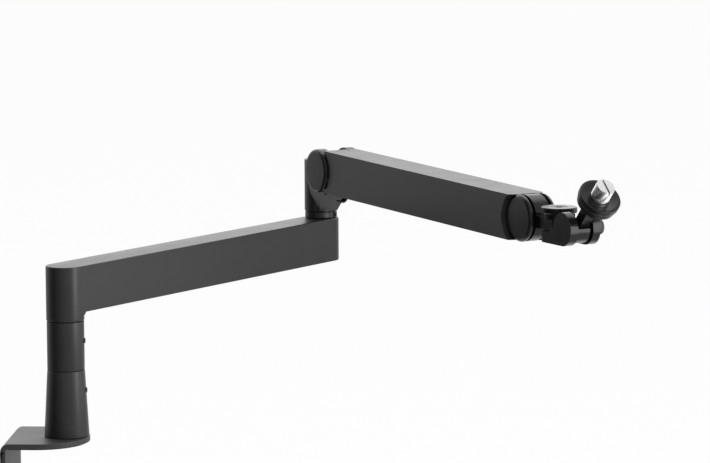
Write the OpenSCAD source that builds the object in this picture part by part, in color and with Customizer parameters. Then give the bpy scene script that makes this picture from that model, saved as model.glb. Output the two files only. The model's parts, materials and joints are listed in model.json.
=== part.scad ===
// Low-profile microphone boom arm: desk clamp, riser, swinging lower arm, tilting upper arm, mic head.
// The origin is on the desk top, on the riser axis. X is right, Y is away from the viewer, Z is up.
// Each moving group is drawn in its own frame: local x runs along the arm and local y away from the viewer.

/* [Clamp plate] */
// Width of the bent steel plate along the desk edge
plate_w = 83.6; // [76:0.2:110]
// Thickness of the bent steel
plate_t = 4.5; // [3.5:0.5:6]
// Reach of the round nose ahead of the riser axis
nose_reach = 19; // [18.8:0.1:32]
// Distance from the riser axis back to the outside of the flange
flange_reach = 49.8; // [44:0.2:66]
// Outside radius of the bend over the desk edge
bend_r = 7; // [6.5:0.5:9]
// Drop of the flange below the desk top
flange_drop = 40; // [37:1:60]
// Thickness of the soft liner between plate and desk
liner_t = 0.7; // [0.5:0.1:2]

/* [Clamp jaw and screw] */
// Thickness of the lower jaw
jaw_t = 5; // [4:0.5:8]
// Width of the lower jaw
jaw_w = 44; // [36:1:60]
// Depth of the jaw's upper face below the desk top
jaw_depth = 74; // [70:1:90]
// Reach of the jaw ahead of the riser axis
jaw_reach = 4; // [0:1:20]
// Distance from the riser axis back to the clamp screw
screw_back = 15; // [8:1:20]
// Radius of the clamp screw
screw_r = 4.9; // [4:0.1:6]
// Radius of the pressure pad
pad_r = 17; // [14:0.5:20]
// Thickness of the desk held in the drawn pose
desk_t = 30; // [28:1:34]
// Radius of the clamp knob
knob_r = 16; // [14:0.5:22]

/* [Riser] */
// Radius of the tapered foot where it meets the plate
foot_r = 18.7; // [16.8:0.1:18.9]
// Radius of the riser tube
riser_r = 15.5; // [14:0.1:16]
// Height of the seam between foot and tube above the desk
foot_top = 61.1; // [56:0.5:75]
// Height of the seam between tube and lower arm above the desk
riser_top = 101.8; // [98:0.5:130]
// Radius of the steel pivot post
post_r = 6; // [5:0.1:7]
// Radius of the spigot that joins foot and tube
spigot_r = 10; // [9:0.1:11]
// Height of the foot's grub screw above the desk
foot_grub_z = 43.7; // [38:0.5:50]
// Height of the tube's grub screw above the desk
riser_grub_z = 85; // [80:0.5:90]

/* [Lower arm] */
// Length of the lower arm from riser axis to elbow axis
lower_len = 373; // [300:1:450]
// Half the width of the lower arm, which is the radius of its round ends
lower_r = 15.8; // [15.5:0.1:18]
// Radius of the hub below the arm
hub_r = 15.7; // [14.5:0.1:15.7]
// Height of the lower arm's section
lower_h = 38.5; // [36:0.5:46]
// Drop of the hub below the arm's underside
hub_drop = 6.9; // [5:0.1:12]
// Swing of the lower arm from X, in degrees
lower_swing = 59.8; // [0:0.2:90]
// Width of the cable channel under the lower arm
channel_w = 23; // [18:0.5:25]

/* [Elbow] */
// Radius of the elbow column
column_r = 14.75; // [14.2:0.05:15.5]
// Height of the friction collar under the column
collar_h = 6.2; // [5.6:0.1:9]
// Height of the tilt pivot above the lower arm's top
pivot_up = 45.5; // [44:0.5:60]
// Distance of the tilt pivot ahead of the column axis
pivot_ahead = 26; // [25:0.5:32]
// Height of the column's flat top above the tilt pivot
column_rise = 7.4; // [2:0.1:8]
// Radius of the round drum at the tilt pivot
drum_r = 19.3; // [19:0.05:20.4]
// Thickness of each elbow cheek
cheek_t = 7; // [6:0.1:7.2]
// Thickness of the round caps on the elbow
elbow_cap_t = 3.2; // [2.5:0.1:5]

/* [Upper arm] */
// Length of the upper arm from tilt pivot to front pivot
upper_len = 341; // [280:1:420]
// Width of the upper arm's shell
upper_w = 33.5; // [33:0.1:38]
// Height of the upper arm's shell
upper_h = 37.8; // [37.6:0.1:42]
// Wall of the shell
shell_t = 1.8; // [1.4:0.1:2.2]
// Swing of the upper arm from X towards the viewer, in degrees
upper_swing = 57.5; // [0:0.5:90]
// Droop of the upper arm below level, in degrees
upper_droop = 1; // [0:0.2:3]
// Radius of the hollow in the shell's ends around each pivot
end_hollow_r = 21.2; // [21:0.1:24]
// Forward offset of the levelling link's pins from the main pins
link_ahead = 6.1; // [5:0.1:7]
// Downward offset of the levelling link's pins from the main pins
link_down = 11.8; // [11.4:0.1:12.2]
// Radius of the two main pins
main_pin_r = 4; // [3:0.1:4.2]

/* [Front and head] */
// Half the width of the front drum
front_half = 7.05; // [6.8:0.05:7.1]
// Distance of the head's swivel axis ahead of the front pivot
swivel_ahead = 42.8; // [42:0.2:60]
// Distance of the tilt axis ahead of the swivel axis
tilt_ahead = 27.4; // [27:0.1:34]
// Drop of the head's middle below the front pivot
head_drop = 1.2; // [0:0.1:2]
// Half the width of the head block
head_half = 14.15; // [13.8:0.05:14.6]
// Radius of the fork's round cheeks, which is half the height of the head block
head_r = 13.65; // [13:0.05:14.5]
// Radius of the round cap over the swivel
swivel_cap_r = 14.8; // [14.2:0.1:16]
// Lean of the mic stem ahead of upright, in degrees
stem_lean = 43; // [0:0.2:60]
// Sideways offset of the stem's flange from the block's middle
stem_side = 5.5; // [4.5:0.1:6.5]
// Radius of the yoke's barrel between the cheeks
barrel_r = 11.9; // [11:0.1:12]
// Distance of the stem flange's top from the tilt axis
flange_top = 31.9; // [31:0.1:38]
// Radius of the lock ring
ring_r = 17.6; // [14.6:0.1:20]
// Height of the lock ring
ring_h = 5.4; // [4:0.1:9]
// Radius of the mic thread's crest
thread_r = 7.9; // [7.5:0.05:8]
// Length of mic thread that stands above the relief groove
thread_len = 11; // [8:0.5:20]

/* [Hidden] */
$fn = 72;
eps = 0.05;
slip = 0.05;
face_gap = 0.1;
seam = 0.5;
seam_depth = 1.4;
ease = 0.5;
plate_top = liner_t + plate_t;
nose_x = nose_reach - plate_w / 2;
flange_x = -flange_reach;
liner_inset = 2;

foot_bolt_ring = 12.5;
foot_bolt_r = 2.45;
foot_bolt_head_r = 4.8;
foot_bolt_head_h = 2.6;
foot_bolt_up = 16;
foot_bolt_turns = [90, 210, 330];
spigot_len = 28;
grub_r = 2.2;
grub_proud = 0.8;
grub_socket_r = 1.3;
grub_socket_h = 1.6;

jaw_leg_top = 17;
flange_screw_r = 3;
flange_screw_head_r = 5.2;
flange_screw_head_h = 2.8;
flange_screw_side = 13;
flange_screw_drop = 29;
bush_r = 8;
bush_flange_r = 11;
bush_drop = 6;
pad_t = 4;
pad_liner_t = 1;
pad_hub_r = 8;
pad_hub_h = 6;
tip_r = 3.5;
tip_len = 5;
spindle_len = 84;
knob_h = 13;
knob_lobes = 6;
pad_face_z = -desk_t;
pad_low = pad_face_z - pad_liner_t - pad_t;
hub_low = pad_low - pad_hub_h;
spindle_low = hub_low - spindle_len + tip_len;

lower_top = riser_top + 0.6 + hub_drop + lower_h;
lower_low = lower_top - lower_h;
hub_low_z = lower_low - hub_drop;
post_low = riser_top - 34;
post_top = lower_top - 12;
bush_wall = 2;
channel_top = 5.5;
channel_end = 24;
cover_t = 2;
cover_gap = 0.2;
cover_inset = 14;
rail_t = 1.5;
rail_h = 6;
stem_pin_r = 6;
stem_pin_up = 20;
stem_bore_low = 8.6;
stem_washer_r = 8.6;
stem_washer_t = 1.5;
stem_screw_r = 2.95;
stem_screw_head_r = 5;
stem_screw_head_h = 4.6;
stem_screw_len = 16;

collar_r = column_r - 0.4;
collar_low = lower_top + face_gap;
column_low = collar_low + collar_h;
pivot_z = lower_top + pivot_up;
collar_screw_r = 2.3;
collar_screw_turn = 30.5;
neck_back = 20;
neck_taper_from = 12;
neck_low = pivot_up - collar_h - face_gap - 0.9;
neck_low_half = 9;
neck_foot_ahead = 14.2;
fork_back = 10.6;
fork_sweep_r = 22.2;
fork_half = upper_w / 2 - cheek_t;
cap_rim = 0.7;
cap_face_inset = 3.05;

link_y = 2.6;
link_t = 4;
link_half_h = 3;
link_eye_r = 5;
link_pin_r = 2.5;
link_side_gap = 0.3;
plate_side = 7.3;
frame_t = 2;
frame_boss_r = 10;
frame_top = upper_h / 2 - 2;
frame_web_t = 2;
frame_ramp_start = 15.4;
frame_ramp_h = 13.2;
frame_web_start = 14;
frame_low = 12;
frame_throat = 3;
frame_shoulder = 20;
spring_in_r = 6.5;
spring_wire = 3.5;
spring_near = -6.7;
spring_w = 7;
spring_leg_len = 34;
sleeve_wall = 2.2;
shell_floor = 2;
shell_cheek_y = 9.6;
shell_cheek_len = 36;
cover_w = 23.6;
slot_start = 22;
slot_end = 34;
shell_screw_ahead = 16;
shell_screw_side = 5.4;
shell_screw_r = 1.45;
shell_screw_head_r = 2.9;
shell_screw_head_h = 1.4;
clip_ahead = 13.3;
clip_len = 7;
clip_r = 4.6;
clip_bore_r = 3;
clip_mouth = 3.4;

front_drum_r = drum_r - 0.1;
front_cap_in = plate_side + frame_t + 0.3;
front_cap_t = 3.7;
front_cap_r = 19.4;
front_cap_bevel = 3;
front_hollow_r = front_cap_r + 0.7;
tongue_half_h = 5;
tongue_gap = 0.3;
swivel_r = 4;
swivel_head_r = 6.5;
swivel_head_h = 4.5;
swivel_nut_r = 6.4;
swivel_nut_h = 5;
swivel_sunk = 0.4;
swivel_cap_low = 9.9;
swivel_cap_top = 14.6;
swivel_neck_r = 12.6;
head_web_half = 6;
near_cheek_y = -6.9;
far_cheek_y = 7.2;
fork_start = tilt_ahead - barrel_r - 0.4;
barrel_near = near_cheek_y + 0.15;
barrel_far = 5.2;
barrel_flat = 0.8;
tilt_screw_r = 3.5;
tilt_hub_r = 6.2;
tilt_screw_near = -12;
tilt_washer_r = 9.5;
knob_cap_r = 6.2;
knob_cap_len = 8.2;
web_near = -3.4;
web_front = 5.6;
web_rear = 3.4;
flange_t = 3;
flange_r = ring_r - 1.4;
flange_cone = 9;
flange_cone_r = 7.5;
stud_sunk = 6;
relief_gap = 0.2;
relief_w = 1;
relief_depth = 0.6;
slot_w = 1.6;
slot_depth = 3;
ring_washer_t = 1.5;
ring_washer_r = ring_r - 1;
ring_grips = 24;
grip_r = 0.9;

// Frames of the moving groups
module at_lower() { rotate([0, 0, lower_swing]) children(); }
module at_elbow() { at_lower() translate([lower_len, 0, 0]) rotate([0, 0, -lower_swing - upper_swing]) children(); }
module at_pivot() { at_elbow() translate([pivot_ahead, 0, pivot_z]) children(); }
module at_upper() { at_pivot() rotate([0, upper_droop, 0]) children(); }
module at_front() {
    at_pivot()
        translate([upper_len * cos(upper_droop), 0, -upper_len * sin(upper_droop)])
        children();
}
module at_head() { at_front() translate([swivel_ahead, 0, -head_drop]) children(); }
module at_stem() {
    at_head() translate([tilt_ahead, stem_side, 0]) rotate([0, stem_lean, 0]) children();
}

// A cylinder along local y, from y0 to y1
module bar_y(r, y0, y1) { translate([0, y0, 0]) rotate([-90, 0, 0]) cylinder(r = r, h = y1 - y0); }

// A cylinder along local x, from x0 to x1
module bar_x(r, x0, x1) { translate([x0, 0, 0]) rotate([0, 90, 0]) cylinder(r = r, h = x1 - x0); }

// A flat outline in local x and z, given thickness from y0 to y1
module slab_y(y0, y1) { translate([0, y1, 0]) rotate([90, 0, 0]) linear_extrude(height = y1 - y0) children(); }

// A round bar with both rims eased
module eased_disc(r, h, e) {
    rotate_extrude() polygon([[0, 0], [r - e, 0], [r, e], [r, h - e], [r - e, h], [0, h]]);
}

// A straight bar with round ends at 0 and l, its top rim eased
module stadium(l, r, h, e) {
    for (x = [0, l]) {
        translate([x, 0, 0]) eased_disc(r, h, e);
    }
    rotate([90, 0, 90])
        linear_extrude(height = l)
        polygon([[-r + e, 0], [r - e, 0], [r, e], [r, h - e], [r - e, h], [-r + e, h], [-r, h - e], [-r, e]]);
}

// The plan of the clamp plate, from the bend to the round nose
module plate_plan(half, back) {
    translate([nose_x, 0]) circle(r = half);
    translate([back, -half]) square([nose_x - back, 2 * half]);
}

module base_plate() {
    color([0.13, 0.13, 0.135])
    difference() {
        union() {
            translate([0, 0, liner_t])
                linear_extrude(height = plate_t)
                intersection() {
                    plate_plan(plate_w / 2, flange_x + bend_r);
                    translate([flange_x + bend_r, -plate_w / 2]) square([flange_reach + nose_reach, plate_w]);
                }
            translate([flange_x, -plate_w / 2, -flange_drop])
                cube([plate_t, plate_w, flange_drop + plate_top - bend_r]);
            translate([0, plate_w / 2, 0]) rotate([90, 0, 0])
                linear_extrude(height = plate_w)
                intersection() {
                    translate([flange_x + bend_r, plate_top - bend_r]) difference() {
                        circle(r = bend_r);
                        circle(r = bend_r - plate_t);
                    }
                    translate([flange_x, plate_top - bend_r]) square(bend_r);
                }
        }
        for (turn = foot_bolt_turns) {
            rotate([0, 0, turn]) translate([foot_bolt_ring, 0, 0]) {
                translate([0, 0, liner_t - eps])
                    cylinder(r1 = foot_bolt_head_r + face_gap, r2 = foot_bolt_r + face_gap,
                        h = foot_bolt_head_h + face_gap);
                cylinder(r = foot_bolt_r + face_gap, h = plate_top + eps);
            }
        }
        for (side = [-1, 1]) {
            translate([flange_x - eps, side * flange_screw_side, -flange_screw_drop])
                rotate([0, 90, 0]) cylinder(r = flange_screw_r + slip, h = plate_t + 2 * eps);
        }
    }
}

module desk_liner() {
    half = plate_w / 2 - liner_inset;
    back = flange_x + bend_r + face_gap;
    color([0.05, 0.05, 0.05])
    linear_extrude(height = liner_t)
        intersection() {
            plate_plan(half, back);
            translate([back, -half]) square([nose_x + half - back, 2 * half]);
        }
}

module clamp_jaw() {
    leg_x = flange_x - jaw_t;
    color([0.12, 0.12, 0.125])
    difference() {
        union() {
            translate([leg_x, -jaw_w / 2, -jaw_depth - jaw_t])
                cube([jaw_t, jaw_w, jaw_depth + jaw_t - jaw_leg_top]);
            translate([leg_x, -jaw_w / 2, -jaw_depth - jaw_t])
                cube([jaw_reach - leg_x - jaw_w / 2, jaw_w, jaw_t]);
            translate([jaw_reach - jaw_w / 2, 0, -jaw_depth - jaw_t]) cylinder(r = jaw_w / 2, h = jaw_t);
        }
        translate([-screw_back, 0, -jaw_depth - jaw_t - eps])
            cylinder(r = bush_r + slip, h = jaw_t + 2 * eps);
        for (side = [-1, 1]) {
            translate([leg_x - eps, side * flange_screw_side, -flange_screw_drop])
                rotate([0, 90, 0]) cylinder(r = flange_screw_r + slip, h = jaw_t + 2 * eps);
        }
    }
}

module flange_screws() {
    color([0.3, 0.3, 0.31])
    for (side = [-1, 1]) {
        translate([flange_x - jaw_t, side * flange_screw_side, -flange_screw_drop]) rotate([0, 90, 0]) {
            cylinder(r = flange_screw_r, h = jaw_t + plate_t);
            difference() {
                translate([0, 0, -flange_screw_head_h])
                    cylinder(r1 = flange_screw_head_r - 1, r2 = flange_screw_head_r, h = flange_screw_head_h);
                translate([0, 0, -flange_screw_head_h - eps])
                    cylinder(r = grub_socket_r + 0.7, h = grub_socket_h, $fn = 6);
            }
        }
    }
}

module clamp_bush() {
    color([0.62, 0.6, 0.55])
    translate([-screw_back, 0, 0])
    difference() {
        union() {
            translate([0, 0, -jaw_depth - jaw_t - bush_drop]) cylinder(r = bush_flange_r, h = bush_drop);
            translate([0, 0, -jaw_depth - jaw_t - eps]) cylinder(r = bush_r, h = jaw_t + eps);
        }
        translate([0, 0, -jaw_depth - jaw_t - bush_drop - eps])
            cylinder(r = screw_r + slip, h = jaw_t + bush_drop + 3 * eps);
    }
}

module pressure_pad() {
    color([0.15, 0.15, 0.155])
    translate([-screw_back, 0, 0])
    difference() {
        union() {
            translate([0, 0, pad_low]) eased_disc(pad_r, pad_t, ease);
            translate([0, 0, hub_low]) cylinder(r = pad_hub_r, h = pad_hub_h);
        }
        translate([0, 0, hub_low - eps]) cylinder(r = tip_r + slip, h = tip_len + face_gap + eps);
    }
}

module pad_liner() {
    color([0.05, 0.05, 0.05])
    translate([-screw_back, 0, pad_face_z - pad_liner_t]) cylinder(r = pad_r - 1, h = pad_liner_t);
}

module clamp_spindle() {
    color([0.55, 0.55, 0.56])
    translate([-screw_back, 0, 0]) {
        translate([0, 0, spindle_low]) cylinder(r = screw_r, h = hub_low - face_gap - spindle_low);
        translate([0, 0, hub_low - face_gap - eps]) cylinder(r = tip_r, h = tip_len + eps);
    }
}

module clamp_knob() {
    color([0.08, 0.08, 0.085])
    translate([-screw_back, 0, spindle_low - 3])
    difference() {
        eased_disc(knob_r, knob_h, 1);
        for (i = [0 : knob_lobes - 1]) {
            rotate([0, 0, i * 360 / knob_lobes])
                translate([knob_r + 3, 0, -eps]) cylinder(r = knob_r / 3, h = knob_h + 2 * eps);
        }
        translate([0, 0, 3]) cylinder(r = screw_r + slip, h = knob_h);
    }
}

// The foot and the tube share one seam: a thin ring stands in the gap between their eased rims
module riser_foot() {
    rim = riser_r + 0.1;
    color([0.13, 0.13, 0.135])
    difference() {
        rotate_extrude()
            polygon([[0, plate_top], [foot_r, plate_top], [rim, foot_top - seam / 2 - ease],
                [rim - ease, foot_top - seam / 2], [0, foot_top - seam / 2]]);
        translate([0, 0, foot_top - spigot_len - face_gap]) cylinder(r = spigot_r + slip, h = spigot_len + 1);
        for (turn = foot_bolt_turns) {
            rotate([0, 0, turn]) translate([foot_bolt_ring, 0, plate_top - eps])
                cylinder(r = foot_bolt_r + slip, h = foot_bolt_up + 1);
        }
        translate([0, 0, foot_grub_z]) rotate([0, 90, 0]) cylinder(r = grub_r + slip, h = foot_r + 1);
    }
}

module foot_bolts() {
    color([0.3, 0.3, 0.31])
    for (turn = foot_bolt_turns) {
        rotate([0, 0, turn]) translate([foot_bolt_ring, 0, 0])
        difference() {
            union() {
                translate([0, 0, liner_t])
                    cylinder(r1 = foot_bolt_head_r, r2 = foot_bolt_r, h = foot_bolt_head_h);
                translate([0, 0, liner_t]) cylinder(r = foot_bolt_r, h = plate_t + foot_bolt_up);
            }
            translate([0, 0, liner_t - eps])
                cylinder(r = grub_socket_r + 0.3, h = grub_socket_h, $fn = 6);
        }
    }
}

// A socket grub screw along X, from the pin it holds to just outside the wall
module grub(z, from_r, to_r) {
    color([0.05, 0.05, 0.05])
    translate([0, 0, z])
    difference() {
        bar_x(grub_r, from_r, to_r);
        translate([to_r - grub_socket_h, 0, 0]) rotate([0, 90, 0])
            cylinder(r = grub_socket_r, h = grub_socket_h + eps, $fn = 6);
    }
}

module foot_grub() {
    share = (foot_grub_z - plate_top) / (foot_top - plate_top);
    grub(foot_grub_z, spigot_r + face_gap, foot_r + (riser_r - foot_r) * share + grub_proud);
}

module riser_grub() { grub(riser_grub_z, post_r + face_gap, riser_r + grub_proud); }

module riser_tube() {
    low = foot_top + seam / 2;
    top = riser_top - seam / 2;
    color([0.13, 0.13, 0.135])
    difference() {
        union() {
            translate([0, 0, low]) eased_disc(riser_r, top - low, ease);
            translate([0, 0, foot_top - seam / 2]) cylinder(r = riser_r - seam_depth, h = seam + eps);
            translate([0, 0, foot_top - spigot_len]) cylinder(r = spigot_r, h = spigot_len);
        }
        translate([0, 0, post_low - face_gap]) cylinder(r = post_r + slip, h = top - post_low + 1);
        translate([0, 0, riser_grub_z]) rotate([0, 90, 0]) cylinder(r = grub_r + slip, h = riser_r + 1);
    }
}

module pivot_post() {
    color([0.6, 0.6, 0.61])
    translate([0, 0, post_low]) eased_disc(post_r, post_top - post_low, ease);
}

module hub_washer() {
    low = riser_top - seam / 2;
    color([0.06, 0.06, 0.06])
    translate([0, 0, low])
    difference() {
        cylinder(r = riser_r - seam_depth, h = hub_low_z - low - face_gap);
        translate([0, 0, -eps]) cylinder(r = post_r + face_gap, h = 3);
    }
}

module lower_arm() {
    color([0.13, 0.13, 0.135])
    at_lower()
    difference() {
        union() {
            translate([0, 0, lower_low]) stadium(lower_len, lower_r, lower_h, ease);
            translate([0, 0, hub_low_z]) eased_disc(hub_r, hub_drop + ease + eps, ease);
        }
        translate([channel_end, -channel_w / 2, lower_low - eps])
            cube([lower_len - 2 * channel_end, channel_w, lower_h - channel_top + eps]);
        translate([0, 0, hub_low_z - eps])
            cylinder(r = post_r + bush_wall + slip, h = post_top - hub_low_z + 0.5);
        translate([lower_len, 0, lower_low - eps])
            cylinder(r = stem_pin_r + bush_wall + slip, h = lower_h + 1);
        translate([lower_len, 0, lower_low - eps])
            cylinder(r = stem_washer_r + 0.4, h = stem_bore_low + eps);
    }
}

module hub_bush() {
    color([0.8, 0.79, 0.74])
    translate([0, 0, hub_low_z + 1])
    difference() {
        cylinder(r = post_r + bush_wall, h = post_top - hub_low_z - 0.8);
        translate([0, 0, -eps]) cylinder(r = post_r + slip, h = post_top);
    }
}

module elbow_bush() {
    low = lower_low + stem_bore_low;
    color([0.8, 0.79, 0.74])
    at_lower() translate([lower_len, 0, low])
    difference() {
        cylinder(r = stem_pin_r + bush_wall, h = lower_top - low - face_gap);
        translate([0, 0, -eps]) cylinder(r = stem_pin_r + slip, h = lower_h);
    }
}

// A cable cover: a flat strip with two rails that grip inside the channel
module cover_strip(l, w) {
    translate([0, -w / 2, 0]) cube([l, w, cover_t]);
    for (side = [-1, 1]) {
        translate([0, side * (w - rail_t) / 2 - rail_t / 2, 0]) cube([l, rail_t, cover_t + rail_h]);
    }
}

module lower_cover() {
    color([0.1, 0.1, 0.105])
    at_lower()
        translate([channel_end + cover_inset, 0, lower_low])
        cover_strip(lower_len - 2 * (channel_end + cover_inset), channel_w - 2 * cover_gap);
}

// The outline of the neck from the side: it drops from the drum to the front of the column
module neck_side() {
    polygon([[-neck_back, column_rise], [0, column_rise], [0, -drum_r],
        [neck_foot_ahead - pivot_ahead, -neck_low], [-neck_back, -neck_low]]);
}

// The outline of the neck from the front: full width at the drum, narrow at the foot
module neck_front() {
    half = upper_w / 2;
    polygon([[-half, drum_r], [half, drum_r], [half, -neck_taper_from], [neck_low_half, -neck_low],
        [-neck_low_half, -neck_low], [-half, -neck_taper_from]]);
}

module elbow_bracket() {
    half = upper_w / 2;
    color([0.13, 0.13, 0.135])
    at_elbow()
    difference() {
        union() {
            translate([0, 0, column_low])
                eased_disc(column_r, pivot_z + column_rise - column_low, ease);
            translate([pivot_ahead, 0, pivot_z]) {
                bar_y(drum_r, -half, half);
                intersection() {
                    slab_y(-half, half) neck_side();
                    translate([-neck_back, 0, 0]) rotate([90, 0, 90])
                        linear_extrude(height = neck_back) neck_front();
                }
            }
        }
        translate([0, 0, column_low - eps]) cylinder(r = stem_pin_r + slip, h = stem_pin_up + eps);
        translate([pivot_ahead, 0, pivot_z]) {
            intersection() {
                bar_y(fork_sweep_r, -fork_half, fork_half);
                translate([-fork_back, -fork_half, -fork_sweep_r])
                    cube([fork_back + fork_sweep_r, 2 * fork_half, 2 * fork_sweep_r]);
            }
            bar_y(main_pin_r + slip, -half - 1, half + 1);
            translate([link_ahead, 0, -link_down]) bar_y(link_pin_r + slip, -half - 1, half + 1);
        }
    }
}

module elbow_stem() {
    low = lower_low + stem_bore_low - face_gap;
    color([0.6, 0.6, 0.61])
    at_elbow()
    difference() {
        translate([0, 0, low]) cylinder(r = stem_pin_r, h = column_low + stem_pin_up - face_gap - low);
        translate([0, 0, low - eps]) cylinder(r = stem_screw_r + slip, h = stem_screw_len + face_gap);
    }
}

module stem_washer() {
    color([0.55, 0.55, 0.56])
    at_elbow() translate([0, 0, lower_low + stem_bore_low - face_gap - stem_washer_t])
    difference() {
        cylinder(r = stem_washer_r, h = stem_washer_t);
        translate([0, 0, -eps]) cylinder(r = stem_screw_r + slip, h = stem_washer_t + 2 * eps);
    }
}

module stem_screw() {
    seat = lower_low + stem_bore_low - face_gap - stem_washer_t;
    color([0.3, 0.3, 0.31])
    at_elbow() translate([0, 0, seat])
    difference() {
        union() {
            cylinder(r = stem_screw_r, h = stem_washer_t + stem_screw_len - 1);
            translate([0, 0, -stem_screw_head_h]) cylinder(r = stem_screw_head_r, h = stem_screw_head_h);
        }
        translate([0, 0, -stem_screw_head_h - eps]) cylinder(r = grub_socket_r + 1.2, h = 2.6, $fn = 6);
    }
}

module elbow_collar() {
    color([0.06, 0.06, 0.062])
    at_elbow() translate([0, 0, collar_low])
    difference() {
        eased_disc(collar_r, collar_h, 0.8);
        translate([0, 0, -eps]) cylinder(r = stem_pin_r + slip, h = collar_h + 2 * eps);
        rotate([0, 0, collar_screw_turn]) translate([0, 0, collar_h / 2 - 0.2])
            rotate([0, 90, 0]) cylinder(r = collar_screw_r + slip, h = collar_r + 1);
    }
}

module collar_screw() {
    color([0.3, 0.3, 0.31])
    at_elbow() translate([0, 0, collar_low + collar_h / 2 - 0.2]) rotate([0, 0, collar_screw_turn])
    difference() {
        bar_x(collar_screw_r, stem_pin_r + face_gap, collar_r + 0.6);
        translate([collar_r - 1, 0, 0]) rotate([0, 90, 0]) cylinder(r = grub_socket_r, h = 2, $fn = 6);
    }
}

module tilt_pin() {
    half = upper_w / 2 - 0.5;
    color([0.6, 0.6, 0.61]) at_pivot() bar_y(main_pin_r, -half, half);
}

module rear_link_pin() {
    half = upper_w / 2 - 0.5;
    color([0.6, 0.6, 0.61])
    at_pivot() translate([link_ahead, 0, -link_down]) bar_y(link_pin_r, -half, half);
}

module spring_sleeve() {
    color([0.8, 0.79, 0.74])
    at_pivot()
    difference() {
        bar_y(main_pin_r + sleeve_wall, spring_near, spring_near + spring_w);
        bar_y(main_pin_r + slip, spring_near - eps, spring_near + spring_w + eps);
    }
}

// A round cap: a short rim, a rounded shoulder and a flat face
module round_cap(r, t, shoulder) {
    rotate_extrude()
    union() {
        square([r - shoulder, t]);
        square([r, cap_rim]);
        intersection() {
            translate([r - shoulder, cap_rim]) scale(1) circle(r = shoulder);
            translate([r - shoulder, 0]) square([shoulder, t]);
        }
    }
}

module elbow_caps() {
    color([0.1, 0.1, 0.105])
    at_pivot()
    for (side = [-1, 1]) {
        translate([0, side * upper_w / 2, 0]) rotate([-side * 90, 0, 0])
            round_cap(drum_r - face_gap, elbow_cap_t, cap_face_inset);
    }
}

// One side plate of the upper arm's frame
module frame_outline() {
    polygon([[0, frame_boss_r - 0.1], [frame_ramp_start, frame_ramp_h], [frame_ramp_start, frame_top],
        [upper_len - frame_ramp_start, frame_top], [upper_len - frame_ramp_start, frame_ramp_h],
        [upper_len, frame_boss_r - 0.1], [upper_len, -frame_throat],
        [upper_len - frame_shoulder, -frame_throat], [upper_len - frame_shoulder - 4, -frame_low],
        [frame_shoulder + 4, -frame_low], [frame_shoulder, -frame_throat], [0, -frame_throat]]);
    for (x = [0, upper_len]) {
        translate([x, 0]) circle(r = frame_boss_r);
    }
}

module arm_frame() {
    outer = plate_side + frame_t;
    stop_z = spring_in_r + spring_wire + slip;
    color([0.35, 0.35, 0.36])
    at_upper()
    difference() {
        union() {
            for (y0 = [-outer, plate_side]) {
                slab_y(y0, y0 + frame_t) frame_outline();
            }
            translate([frame_web_start, -outer, frame_top - frame_web_t])
                cube([upper_len - 2 * frame_web_start, 2 * outer, frame_web_t]);
            translate([spring_leg_len - 5, spring_near - 0.7, stop_z])
                cube([5, spring_w, frame_top - frame_web_t - stop_z + eps]);
        }
        for (x = [0, upper_len]) {
            translate([x, 0, 0]) bar_y(main_pin_r + slip, -outer - 1, outer + 1);
        }
        for (side = [-1, 1]) {
            translate([shell_screw_ahead, side * shell_screw_side, frame_top - frame_web_t - eps])
                cylinder(r = shell_screw_r + slip, h = frame_web_t + 2 * eps);
        }
    }
}

// The shell: a square tube, hollowed round both pivots, open below for the cable cover
module upper_shell() {
    half = upper_w / 2;
    high = upper_h / 2;
    color([0.14, 0.14, 0.145])
    at_upper()
    difference() {
        union() {
            difference() {
                translate([0, -half, -high]) cube([upper_len, upper_w, upper_h]);
                translate([-1, -half + shell_t, -high + shell_floor])
                    cube([upper_len + 2, upper_w - 2 * shell_t, upper_h - shell_floor - (high - frame_top)]);
            }
            for (y0 = [-half + shell_t - eps, shell_cheek_y]) {
                translate([upper_len - shell_cheek_len, y0, -high + shell_floor - eps])
                    cube([shell_cheek_len, half - shell_t - shell_cheek_y + eps, upper_h - 4 + 2 * eps]);
            }
        }
        bar_y(end_hollow_r, -half - 1, half + 1);
        translate([upper_len, 0, 0]) {
            bar_y(front_hollow_r, -half, half);
            for (side = [-1, 1]) {
                translate([0, side * shell_cheek_y, 0]) rotate([-side * 90, 0, 0])
                    cylinder(r1 = front_hollow_r, r2 = end_hollow_r, h = half - shell_cheek_y + eps);
            }
        }
        translate([slot_start, -cover_w / 2 - cover_gap, -high - eps])
            cube([upper_len - slot_start - slot_end, cover_w + 2 * cover_gap, shell_floor + 2 * eps]);
        for (side = [-1, 1]) {
            translate([shell_screw_ahead, side * shell_screw_side, 0]) {
                cylinder(r = shell_screw_r + slip, h = high + 1);
                translate([0, 0, high - shell_screw_head_h])
                    cylinder(r1 = shell_screw_r, r2 = shell_screw_head_r + face_gap, h = shell_screw_head_h + eps);
            }
        }
    }
}

module shell_screws() {
    high = upper_h / 2;
    color([0.05, 0.05, 0.05])
    at_upper()
    for (side = [-1, 1]) {
        translate([shell_screw_ahead, side * shell_screw_side, 0])
        difference() {
            union() {
                translate([0, 0, frame_top - frame_web_t - 2])
                    cylinder(r = shell_screw_r, h = high - frame_top + frame_web_t + 1);
                translate([0, 0, high - shell_screw_head_h])
                    cylinder(r1 = shell_screw_r - face_gap, r2 = shell_screw_head_r, h = shell_screw_head_h);
            }
            translate([0, 0, high - 0.9]) cylinder(r = grub_socket_r, h = 1, $fn = 6);
        }
    }
}

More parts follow.
